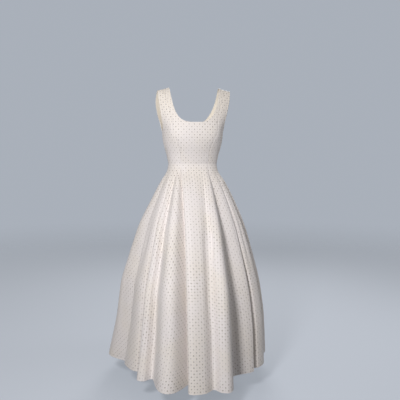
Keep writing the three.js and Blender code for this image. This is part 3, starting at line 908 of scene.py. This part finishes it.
def edgeStitches():
    paths = []
    frontFoot = dress["frontNeck"] - stitching["necklineStop"]
    backFoot = dress["backNeck"] - stitching["necklineStop"]
    armholeFoot = dress["armhole"] - stitching["armholeStop"]
    sides = (  # node, strip, edge column and where the stitching stops
        ("front_centre", 0, -1, frontFoot), ("front_centre", 1, 0, frontFoot),
        ("back_left", 0, -1, backFoot), ("back_right", 0, 0, backFoot),
        ("front_side_right", 0, 0, armholeFoot), ("front_side_left", 0, -1, armholeFoot),
        ("back_side_left", 0, 0, armholeFoot), ("back_side_right", 0, -1, armholeFoot),
    )
    for node, stripIndex, column, foot in sides:
        strip = panelStrips[node][stripIndex]
        paths.append(insetRow(strip, column, stitching["edgeInset"], *rowsBetween(strip, 0, foot)))
    for node, column in (("back_left", -1), ("back_right", 0)):
        strip = panelStrips[node][0]
        rows = rowsBetween(strip, dress["backNeck"] + 1, zipper["endDrop"] + stitching["belowZip"])
        paths.append(insetRow(strip, column, zipper["stitchAside"], *rows))
    return [path for path in paths if len(path[0]) > 1]


stitchSize = stitching["thickness"], stitching["thickness"] * stitching["flatness"], stitching["length"]
alongPaths("edgeStitches", "stitch", edgeStitches(), stitching["pitch"], stitchSize, thread)
print("stitches made")


def zipTeeth(side, name):
    # one row of teeth on the panel's edge, half a pitch out of step with the other
    node = "back_left" if side > 0 else "back_right"
    strip = panelStrips[node][0]
    column = -1 if side > 0 else 0
    first, last = rowsBetween(strip, zipper["teethTop"], zipper["endDrop"])
    points = strip["points"][first:last, column].copy()
    points[:, 0] = side * (zipper["toothWidth"] / 2 - zipper["toothOverlap"])
    points[:, 2] += 0.0 if side > 0 else -zipper["toothPitch"] / 2
    outs = strip["normals"][first:last, column].copy()
    outs[:, 0] = 0
    outs = unit(outs)
    points -= outs * zipper["toothSink"]
    toothSize = zipper["toothWidth"], zipper["toothDepth"], zipper["toothHeight"]
    path = [(points, outs)]
    piece = alongPaths(name, "tooth", path, zipper["toothPitch"], toothSize, nickel)
    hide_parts("zip_teeth_left" if side > 0 else "zip_teeth_right")


zipTeeth(1, "zipTeethLeft")
zipTeeth(-1, "zipTeethRight")


def makeTape(side, name):
    # a woven strip that lies behind the panel's edge, made from the panel's own rows
    node = "back_left" if side > 0 else "back_right"
    strip = panelStrips[node][0]
    points, normals = fromEdge(strip, -1 if side > 0 else 0)
    first, last = rowsBetween(strip, dress["backNeck"], zipper["closedDrop"] + 1)
    distances = np.linspace(zipTape["edge"], zipTape["edge"] + zipTape["width"], zipTape["columns"] + 1)
    front, back, flat = [], [], []
    down = 0.0
    for row in range(first, last):
        line = points[row]
        length = zipper["opening"] / 2 + lengthAlong(line)
        inner = unit(line[1] - line[0])
        for distance in distances:
            place = valueAt(distance, length, line) + inner * min(distance - length[0], 0)
            away = unit(valueAt(distance, length, normals[row]))
            front.append(place - away * (cloth["wall"] + zipTape["gap"]))
            back.append(place - away * (cloth["wall"] + zipTape["gap"] + zipTape["thickness"]))
            flat.append((distance * mm, down * mm))
        if row + 1 < last:
            down -= np.linalg.norm(points[row + 1][0] - line[0])
    rows, columns = last - first, len(distances)
    size = rows * columns
    at = np.arange(size).reshape(rows, columns)
    quads = gridQuads(rows, columns)
    ring = np.concatenate([at[:, 0], at[-1, 1:], at[-2::-1, -1], at[0, -2:0:-1]])
    nextRing = np.roll(ring, -1)
    rim = np.stack([nextRing, ring, ring + size, nextRing + size], -1)
    faces = np.concatenate([quads, quads[:, ::-1] + size, rim])
    if side > 0:
        faces = faces[:, ::-1]
    mesh = bpy.data.meshes.new(name)
    mesh.from_pydata((np.array(front + back) * mm).tolist(), [], faces.tolist())
    layer = mesh.uv_layers.new(name="flatCloth")
    layer.data.foreach_set("uv", np.array(flat)[faces.ravel() % size].ravel())
    mesh.materials.append(tapeCotton)
    piece = addPiece(name, mesh)
    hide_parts("zip_tape_left" if side > 0 else "zip_tape_right")
    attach(piece, "dress")


makeTape(1, "zipTapeLeft")
makeTape(-1, "zipTapeRight")

for node in ("zip_slider", "zip_pull"):
    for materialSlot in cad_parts[node].material_slots:
        materialSlot.material = nickel
print("zip made")

studio = {
    "floorBelowHem": 0.09, "floorRadius": 7.0, "floorSides": 96, "floorFade": (2.2, 6.5),
    "floorColour": (0.24, 0.255, 0.28), "floorGlow": 0.72, "backgroundColour": (0.40, 0.435, 0.49),
    "ambientColour": (1.0, 0.92, 0.82), "ambient": 0.15,
    "lights": (  # name, place, height aimed at, size, power and colour
        ("keyLight", (-0.8, -1.85, 0.3), -0.45, 0.4, 39, (1.0, 0.985, 0.995)),
        ("sideLight", (2.0, 0.1, 0.2), -0.6, 0.9, 12, (0.95, 0.96, 1.0)),
        ("backLight", (0.5, 2.0, 0.85), -0.4, 1.2, 36, (1.0, 0.985, 0.98)),
    ),
}


def backgroundRay(tree):
    # 1 for what the camera sees, straight on or in metal
    path = tree.nodes.new("ShaderNodeLightPath")
    seen = calc(tree, "MAXIMUM", path.outputs["Is Camera Ray"], path.outputs["Is Glossy Ray"])
    return calc(tree, "MAXIMUM", seen, path.outputs["Is Transmission Ray"])


def floorMaterial():
    material, tree, shader = newMaterial("paleFloor")
    shader.inputs["Base Color"].default_value = (*studio["floorColour"], 1)
    shader.inputs["Roughness"].default_value = 0.9
    shader.inputs["Specular IOR Level"].default_value = 0.1
    shader.inputs["Emission Color"].default_value = (*studio["backgroundColour"], 1)
    glow = calc(tree, "MULTIPLY", backgroundRay(tree), studio["floorGlow"])
    tree.links.new(glow, shader.inputs["Emission Strength"])
    length = tree.nodes.new("ShaderNodeVectorMath")
    length.operation = "LENGTH"
    tree.links.new(objectPlace(tree), length.inputs[0])
    tree.links.new(remap(tree, length.outputs["Value"], *studio["floorFade"], 1, 0), shader.inputs["Alpha"])
    return material


def makeFloor():
    low = -(dress["hem"] + dress["hemDip"]) * mm - studio["floorBelowHem"]
    sides, radius = studio["floorSides"], studio["floorRadius"]
    around = [2 * math.pi * i / sides for i in range(sides)]
    vertices = [(0, 0, low)] + [(radius * math.cos(a), radius * math.sin(a), low) for a in around]
    faces = [(0, i + 1, (i + 1) % sides + 1) for i in range(sides)]
    mesh = bpy.data.meshes.new("studioFloor")
    mesh.from_pydata(vertices, [], faces)
    mesh.materials.append(floorMaterial())
    floor = addPiece("studioFloor", mesh)


def areaLight(name, place, aimHeight, size, power, colour):
    data = bpy.data.lights.new(name, "AREA")
    data.shape = "DISK"
    data.size = size
    data.energy = power
    data.color = colour
    light = bpy.data.objects.new(name, data)
    light.location = place
    aim = Vector((0, 0, aimHeight)) - Vector(place)
    light.rotation_euler = aim.to_track_quat("-Z", "Y").to_euler()
    bpy.context.collection.objects.link(light)


def makeWorld():
    # a soft warm light all round, with a plain pale background behind the dress
    world = bpy.data.worlds.new("studioWorld")
    world.use_nodes = True
    tree = world.node_tree
    tree.nodes.clear()
    light, backdrop = tree.nodes.new("ShaderNodeBackground"), tree.nodes.new("ShaderNodeBackground")
    light.inputs["Color"].default_value = (*studio["ambientColour"], 1)
    light.inputs["Strength"].default_value = studio["ambient"]
    backdrop.inputs["Color"].default_value = (*studio["backgroundColour"], 1)
    mix, output = tree.nodes.new("ShaderNodeMixShader"), tree.nodes.new("ShaderNodeOutputWorld")
    tree.links.new(backgroundRay(tree), mix.inputs[0])
    tree.links.new(light.outputs[0], mix.inputs[1])
    tree.links.new(backdrop.outputs[0], mix.inputs[2])
    tree.links.new(mix.outputs[0], output.inputs["Surface"])
    bpy.context.scene.world = world


makeFloor()
for lightSettings in studio["lights"]:
    areaLight(*lightSettings)
makeWorld()

cameraView = {  # degrees and metres, with the lens and sensor in millimetres
    "turn": -8.0, "pitch": 4.57, "aside": 0.0345, "distance": 2.3, "height": -0.325,
    "lens": 45.0, "sensor": 36,
}

turn = math.radians(cameraView["turn"])
cameraData = bpy.data.cameras.new("camera")
cameraData.sensor_width = cameraView["sensor"]
cameraData.lens = cameraView["lens"]
camera = bpy.data.objects.new("camera", cameraData)
aside, away = cameraView["aside"], cameraView["distance"]
camera.location = (
    aside * math.cos(turn) + away * math.sin(turn),
    aside * math.sin(turn) - away * math.cos(turn),
    cameraView["height"],
)
camera.rotation_euler = (math.radians(90 - cameraView["pitch"]), 0, turn)
bpy.context.collection.objects.link(camera)
bpy.context.scene.camera = camera
bpy.context.scene.view_settings.view_transform = "Standard"
print("studio made")
